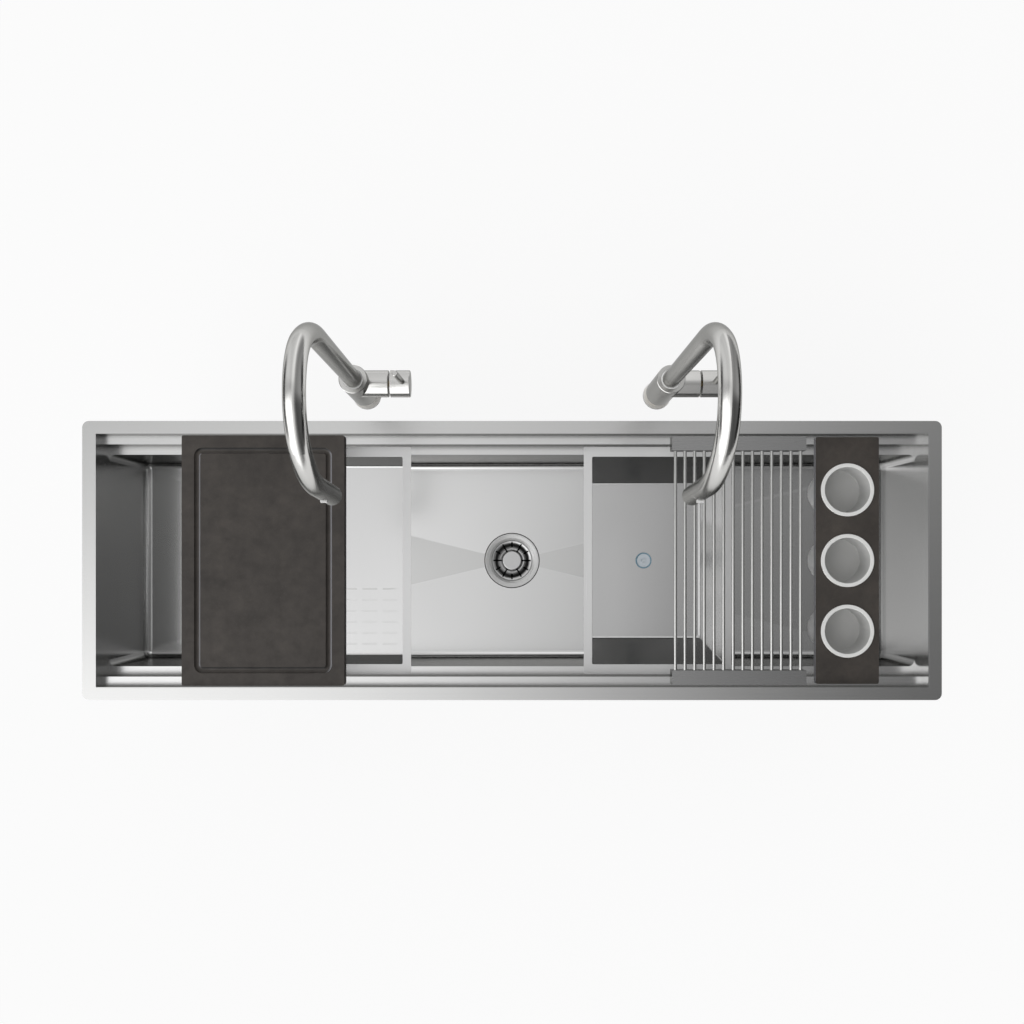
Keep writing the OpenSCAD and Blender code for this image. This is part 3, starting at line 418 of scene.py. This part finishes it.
def piece(name, mesh, body, mat, smooth_deg=40):
    obj = bpy.data.objects.new(name, mesh)
    bpy.context.scene.collection.objects.link(obj)
    mesh.materials.append(mat)
    mesh.shade_smooth()
    mesh.set_sharp_from_angle(angle=math.radians(smooth_deg))
    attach(obj, body)
    return obj


def as_mesh(name, bm):
    mesh = bpy.data.meshes.new(name)
    bm.to_mesh(mesh)
    bm.free()
    return mesh


def lathe(name, profile, centre):
    """Turned mesh: profile is a list of (radius, height) in mm, run round a vertical axis through centre."""
    bm = bmesh.new()
    cx, cy, cz = centre
    angles = [2 * math.pi * i / LATHE_SEGMENTS for i in range(LATHE_SEGMENTS)]
    rings = []
    for r, z in profile:
        around = [(r * MM * math.cos(a), r * MM * math.sin(a)) for a in angles] if r else [(0, 0)]
        rings.append([bm.verts.new((cx + x, cy + y, cz + z * MM)) for x, y in around])
    for low, high in zip(rings, rings[1:]):
        for i in range(LATHE_SEGMENTS):
            j = (i + 1) % LATHE_SEGMENTS
            quad = [low[i % len(low)], low[j % len(low)], high[j % len(high)], high[i % len(high)]]
            bm.faces.new(dict.fromkeys(quad))
    bmesh.ops.recalc_face_normals(bm, faces=bm.faces)
    return as_mesh(name, bm)


def seat_point():
    """Where the strainer's flange stands: the axis of the drain, at the underside of its flange."""
    low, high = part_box("strainer_body")
    return ((low[0] + high[0]) / 2, (low[1] + high[1]) / 2, high[2] - FLANGE_SHEET * MM)


LATHE_SEGMENTS = 144
FLANGE_SHEET = 2.0
SEAT = seat_point()
BASKET_TOP = [(0, -12), (17.2, -12), (17.6, -12), (18.4, -12.3), (18.9, -13.5), (19.4, -16), (20.5, -18.6),
              (22.5, -19.8), (25, -19.6), (27.5, -18.3), (29.5, -16.2), (31.2, -13.4), (32.8, -10.6),
              (34.4, -8.6), (36.2, -7.5), (37.8, -6.9), (39.5, -6.75)]
BASKET_SHEET = 1.2
SLOTS = 12
SLOT_HALF_WIDTH = 1.6
SLOT_OUTER = 38.2
SLOT_INNER = (20.0, 27.0)
SEAL = [(55.1, 0.3), (55.1, 1.9), (54.2, 2.05), (54.4, 2.3), (55.6, 2.5), (56.9, 2.3), (57.1, 2.05), (55.9, 1.9),
        (55.9, 0.3), (55.1, 0.3)]


def slot_cutter():
    """The slots of the basket as one mesh, long and short in turn."""
    bm = bmesh.new()
    half, outer = SLOT_HALF_WIDTH, SLOT_OUTER
    for i in range(SLOTS):
        inner = SLOT_INNER[i % 2]
        turn = Matrix.Rotation(math.radians(360 / SLOTS * i), 4, "Z")
        plan = ((inner, -half), (outer, -half), (outer, half), (inner, half))
        v = [bm.verts.new(Vector(SEAT) + turn @ (Vector((x, y, z)) * MM)) for z in (-30, 5) for x, y in plan]
        for face in ((0, 3, 2, 1), (4, 5, 6, 7), (0, 1, 5, 4), (1, 2, 6, 5), (2, 3, 7, 6), (3, 0, 4, 7)):
            bm.faces.new([v[k] for k in face])
    return as_mesh("slots", bm)


def basket():
    """The strainer basket turned with rounded bends, its slots cut through."""
    under = [(r, z - BASKET_SHEET) for r, z in BASKET_TOP]
    mesh = lathe("basket", BASKET_TOP + under[::-1], SEAT)
    cutter = bpy.data.objects.new("slots", slot_cutter())
    body = bpy.data.objects.new("basket_raw", mesh)
    for obj in (cutter, body):
        bpy.context.scene.collection.objects.link(obj)
    cut = body.modifiers.new("cut", "BOOLEAN")
    cut.object = cutter
    cut.operation = "DIFFERENCE"
    cut.solver = "EXACT"
    done = bpy.data.meshes.new_from_object(body.evaluated_get(bpy.context.evaluated_depsgraph_get()))
    for obj in (cutter, body):
        bpy.data.objects.remove(obj)
    obj = piece("strainer_basket_turned", done, "strainer_basket", mat_basket, 22)
    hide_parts("strainer_basket")


basket()
piece("drain_seal_ring", lathe("drain_seal", SEAL, SEAT), "sink", mat_seal)

# ---------------------------------------------------------------- basin


def loop(half_x, half_y, r, z, at, per_corner=12):
    """Corners of a rounded rectangle, turning from its +X side, as points in metres."""
    pts = []
    for k, (sx, sy) in enumerate(((1, 1), (-1, 1), (-1, -1), (1, -1))):
        for i in range(per_corner):
            a = math.pi / 2 * (k + i / (per_corner - 1))
            pts.append(((at[0] + sx * (half_x - r) + r * math.cos(a)) * MM,
                        (at[1] + sy * (half_y - r) + r * math.sin(a)) * MM, (at[2] + z) * MM))
    return pts


def skin(name, rings):
    """Closed mesh through rings of equally many points, the last joined to the first."""
    bm = bmesh.new()
    rings = [[bm.verts.new(p) for p in ring] for ring in rings]
    for a, b in zip(rings, rings[1:] + rings[:1]):
        for i in range(len(a)):
            j = (i + 1) % len(a)
            bm.faces.new((a[i], a[j], b[j], b[i]))
    bmesh.ops.recalc_face_normals(bm, faces=bm.faces)
    return as_mesh(name, bm)


def basin():
    """The basin as photographed: upright left end, the other three walls leaning in towards the floor."""
    low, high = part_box("basin")
    hole_low, hole_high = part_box("basin_plug")
    sheet, rim, lean, end_lean, fillet, hole_r = 1.2, 15.6, 37.0, 20.0, 4.0, 12.0
    half_l, half_w = (high[0] - low[0]) / 2 / MM, (high[1] - low[1]) / 2 / MM
    deep = (high[2] - low[2]) / MM - sheet
    mouth_x, mouth_y = half_l - rim, 190.0
    mid, top = (low[0] + high[0]) / 2 / MM, high[2] / MM
    plug_x = (hole_low[0] + hole_high[0]) / 2 / MM

    def wall(size, r, drop):
        """Ring of the leaning walls at a depth, size away from the mouth's outline."""
        t = drop / deep
        slide = end_lean * t / 2
        return loop(mouth_x + size - slide, mouth_y + size - lean * t, r, -drop, (mid - slide, 0, top))

    def tub(grow, bend):
        """Rings of one skin from just inside the floor's edge, round the bend and up to the wall."""
        rings = [wall(grow - bend - 1, bend, deep - fillet + bend)]
        for step in range(6):
            a = math.pi / 2 * (1 - step / 5)
            rings.append(wall(grow - bend * (1 - math.cos(a)), bend + 1, deep - fillet + bend * math.sin(a)))
        return rings

    def flat(grow, r, z):
        return loop(mouth_x + grow, mouth_y + grow, r, z, (mid, 0, top))

    rings = [loop(hole_r, hole_r, hole_r, -deep, (plug_x, 0, top))] + tub(0.0, fillet)
    rings += [flat(0.0, 2.4, -1.2), flat(0.2, 2.6, -0.4), flat(0.7, 3.0, 0.0), flat(1.2, 3.4, 0.0)]
    rings += [loop(half_l, half_w, 2.0, z, (mid, 0, top)) for z in (0.0, -sheet)]
    rings += [flat(sheet, 3.4, -sheet)] + tub(sheet, fillet + sheet)[::-1]
    rings.append(loop(hole_r, hole_r, hole_r, -deep - sheet, (plug_x, 0, top)))
    obj = piece("basin_folded", skin("basin_folded", rings), "basin", mat_tray, 30)
    obj.visible_glossy = False
    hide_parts("basin")


basin()

# ---------------------------------------------------------------- floor and light

FLOOR_Z, FLOOR_HALF, FLOOR_GLOW_SHARE = -0.43, 2.4, 0.87
floor_mesh = bpy.data.meshes.new("floor")
floor_mesh.from_pydata([(-FLOOR_HALF, -FLOOR_HALF, FLOOR_Z), (FLOOR_HALF, -FLOOR_HALF, FLOOR_Z),
                        (FLOOR_HALF, FLOOR_HALF, FLOOR_Z), (-FLOOR_HALF, FLOOR_HALF, FLOOR_Z)],
                       [], [(0, 1, 2, 3)])
floor = bpy.data.objects.new("floor", floor_mesh)
bpy.context.scene.collection.objects.link(floor)


def floor_material():
    """Near-white to camera, glossy and transmission rays, while its diffuse share keeps the shadow."""
    mat = bpy.data.materials.new("floor")
    mat.use_nodes = True
    nt = mat.node_tree
    nt.nodes.clear()
    out = nt.nodes.new("ShaderNodeOutputMaterial")
    diffuse = nt.nodes.new("ShaderNodeBsdfDiffuse")
    diffuse.inputs["Color"].default_value = rgb(0.95, 0.95, 0.95)
    glow = nt.nodes.new("ShaderNodeEmission")
    glow.inputs["Color"].default_value = rgb(1, 1, 1)
    glow.inputs["Strength"].default_value = 1.0
    path = nt.nodes.new("ShaderNodeLightPath")
    seen = path.outputs["Is Camera Ray"]
    for ray in ("Is Glossy Ray", "Is Transmission Ray"):
        either = nt.nodes.new("ShaderNodeMath")
        either.operation = "MAXIMUM"
        nt.links.new(seen, either.inputs[0])
        nt.links.new(path.outputs[ray], either.inputs[1])
        seen = either.outputs[0]
    part = nt.nodes.new("ShaderNodeMath")
    part.operation = "MULTIPLY"
    nt.links.new(seen, part.inputs[0])
    part.inputs[1].default_value = FLOOR_GLOW_SHARE
    mix = nt.nodes.new("ShaderNodeMixShader")
    nt.links.new(part.outputs[0], mix.inputs[0])
    nt.links.new(diffuse.outputs[0], mix.inputs[1])
    nt.links.new(glow.outputs[0], mix.inputs[2])
    nt.links.new(mix.outputs[0], out.inputs["Surface"])
    return mat


floor_mesh.materials.append(floor_material())


def studio():
    """Soft studio sky from smooth steps: bright on the left, falling off overhead to a weak fill on the right."""
    world = bpy.data.worlds.new("studio")
    bpy.context.scene.world = world
    world.use_nodes = True
    nt = world.node_tree
    nodes, links = nt.nodes, nt.links
    background = nodes["Background"]
    coord = nodes.new("ShaderNodeTexCoord")
    split = nodes.new("ShaderNodeSeparateXYZ")
    links.new(coord.outputs["Generated"], split.inputs[0])
    x, y, z = split.outputs

    def calc(kind, a, b):
        node = nodes.new("ShaderNodeMath")
        node.operation = kind
        for socket, value in zip(node.inputs, (a, b)):
            if isinstance(value, (int, float)):
                socket.default_value = value
            else:
                links.new(value, socket)
        return node.outputs[0]

    def rise(value, low, high, start, end):
        """Smooth step from start to end as the value goes from low to high."""
        node = nodes.new("ShaderNodeMapRange")
        node.interpolation_type = "SMOOTHSTEP"
        links.new(value, node.inputs["Value"])
        for key, v in (("From Min", low), ("From Max", high), ("To Min", start), ("To Max", end)):
            node.inputs[key].default_value = v
        return node.outputs["Result"]

    fall = rise(x, -0.24, 0.42, 0.97, 0.15)
    dim_edge = rise(x, -0.42, -0.28, -0.11, 0.0)
    left_lamp = rise(x, -0.62, -0.40, 0.22, 0.0)
    right_fill = rise(x, 0.5, 1.0, 0.0, 0.07)
    across = calc("ADD", calc("ADD", fall, dim_edge), calc("ADD", left_lamp, right_fill))
    turn = calc("MULTIPLY", calc("MULTIPLY", x, y), 8.0)
    turn = calc("EXPONENT", calc("MINIMUM", calc("MAXIMUM", turn, -0.7), 0.55), 0.0)
    overhead = calc("MULTIPLY", across, turn)
    boxes = calc("MULTIPLY", rise(calc("ABSOLUTE", y, 0.0), 0.22, 0.45, 0.0, 0.25), rise(x, -0.1, 0.55, 1.0, 0.0))
    horizon = calc("MULTIPLY", rise(z, 0.0, 0.2, 0.95, 0.0), rise(calc("ABSOLUTE", x, 0.0), 0.7, 0.95, 0.0, 1.0))
    sky = calc("MULTIPLY", calc("ADD", overhead, boxes), calc("SUBTRACT", 1.0, horizon))
    seen = nodes.new("ShaderNodeMix")
    seen.data_type = "FLOAT"
    path = nodes.new("ShaderNodeLightPath")
    links.new(path.outputs["Is Camera Ray"], seen.inputs[0])
    links.new(sky, seen.inputs[2])
    seen.inputs[3].default_value = 1.0
    background.inputs["Color"].default_value = rgb(1, 1, 1)
    links.new(seen.outputs[0], background.inputs["Strength"])


studio()
